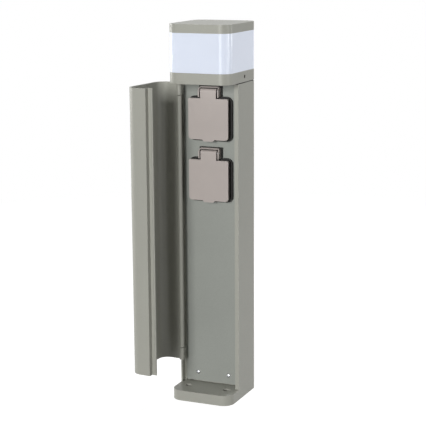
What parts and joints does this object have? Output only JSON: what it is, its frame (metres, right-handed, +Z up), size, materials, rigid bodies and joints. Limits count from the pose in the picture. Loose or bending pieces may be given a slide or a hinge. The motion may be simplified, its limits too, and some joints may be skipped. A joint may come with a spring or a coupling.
{
  "type": "garden lamp post with sockets",
  "caption": "Low square garden lamp post with an opal lamp head and two lidded mains sockets behind a swinging door.",
  "frame": {"origin": "middle of the base plate's footprint, on the ground", "axes": "+Z up the post, +Y to its back, -Y out of the socket side, +X to the right seen from the socket side"},
  "size_m": [0.1075, 0.1346, 0.45],
  "materials": {
    "lacquer": "olive-grey metallic powder coat, satin",
    "panel_lacquer": "cooler grey powder coat, satin",
    "taupe_plastic": "moulded, satin",
    "black_plastic": "moulded, fine texture",
    "pale_plastic": "moulded, plain",
    "opal": "opal, smooth",
    "rubber": "matt",
    "steel": "zinc plated",
    "brass": "plain",
    "cast_aluminium": "as cast",
    "board": "white solder mask",
    "led": "phosphor",
    "brown_wire": "insulation",
    "blue_wire": "insulation",
    "green_wire": "insulation",
    "black_wire": "insulation"
  },
  "bodies": {
    "root": {"base_plate": "lacquer", "cable_grommet": "rubber", "base_screws": "steel", "column": "lacquer", "column_gasket": "rubber", "socket_panel": "panel_lacquer", "panel_screws": "steel", "panel_bracket": "lacquer", "bracket_screws": "steel", "terminal_block": "pale_plastic", "terminal_screws": "brass", "earth_terminal": "brass", "live_wires": "brown_wire", "neutral_wires": "blue_wire", "earth_wires": "green_wire", "top_knuckle": "lacquer", "bottom_knuckle": "lacquer", "knuckle_screws": "steel", "hinge_pins": "steel", "head_ring": "lacquer", "grub_screws": "steel", "carrier_plate": "cast_aluminium", "carrier_screws": "steel", "led_board": "board", "led_chips": "led", "board_screws": "steel", "led_driver": "pale_plastic", "driver_screws": "steel", "led_leads": "black_wire", "lower_seal": "rubber", "diffuser": "opal", "upper_seal": "rubber", "top_cap": "lacquer", "tie_screws": "steel", "upper_gasket": "rubber", "upper_frame": "black_plastic", "upper_insert": "black_plastic", "upper_shutter_spring": "steel", "upper_contacts": "brass", "upper_hood": "taupe_plastic", "upper_lid_pin": "steel", "upper_lid_spring": "steel", "upper_screws": "steel", "lower_gasket": "rubber", "lower_frame": "black_plastic", "lower_insert": "black_plastic", "lower_shutter_spring": "steel", "lower_contacts": "brass", "lower_hood": "taupe_plastic", "lower_lid_pin": "steel", "lower_lid_spring": "steel", "lower_screws": "steel"},
    "door": {"door": "lacquer"},
    "upper_lid": {"upper_lid": "taupe_plastic", "upper_lid_seal": "rubber"},
    "lower_lid": {"lower_lid": "taupe_plastic", "lower_lid_seal": "rubber"},
    "upper_shutter": {"upper_shutter": "pale_plastic"},
    "lower_shutter": {"lower_shutter": "pale_plastic"}
  },
  "joints": [
    {"name": "door_hinge", "type": "hinge", "parent": "root", "child": "door", "pos_m": [-0.0359, -0.016, 0.2115], "axis": [0, 0, 1], "range_deg": [0, 94.4]},
    {"name": "upper_lid_hinge", "type": "hinge", "parent": "root", "child": "upper_lid", "pos_m": [0, -0.0106, 0.3708], "axis": [1, 0, 0], "range_deg": [-95, 0], "stiffness_Nm_per_rad": 0.02, "springref_deg": 20.05},
    {"name": "lower_lid_hinge", "type": "hinge", "parent": "root", "child": "lower_lid", "pos_m": [0, -0.0106, 0.2983], "axis": [1, 0, 0], "range_deg": [-95, 0], "stiffness_Nm_per_rad": 0.02, "springref_deg": 20.05},
    {"name": "upper_shutter_slide", "type": "slide", "parent": "root", "child": "upper_shutter", "axis": [1, 0, 0], "range_m": [0, 0.0062], "stiffness_N_per_m": 40, "springref_m": -0.003, "deforming": ["upper_shutter_spring"]},
    {"name": "lower_shutter_slide", "type": "slide", "parent": "root", "child": "lower_shutter", "axis": [1, 0, 0], "range_m": [0, 0.0062], "stiffness_N_per_m": 40, "springref_m": -0.003, "deforming": ["lower_shutter_spring"]}
  ]
}
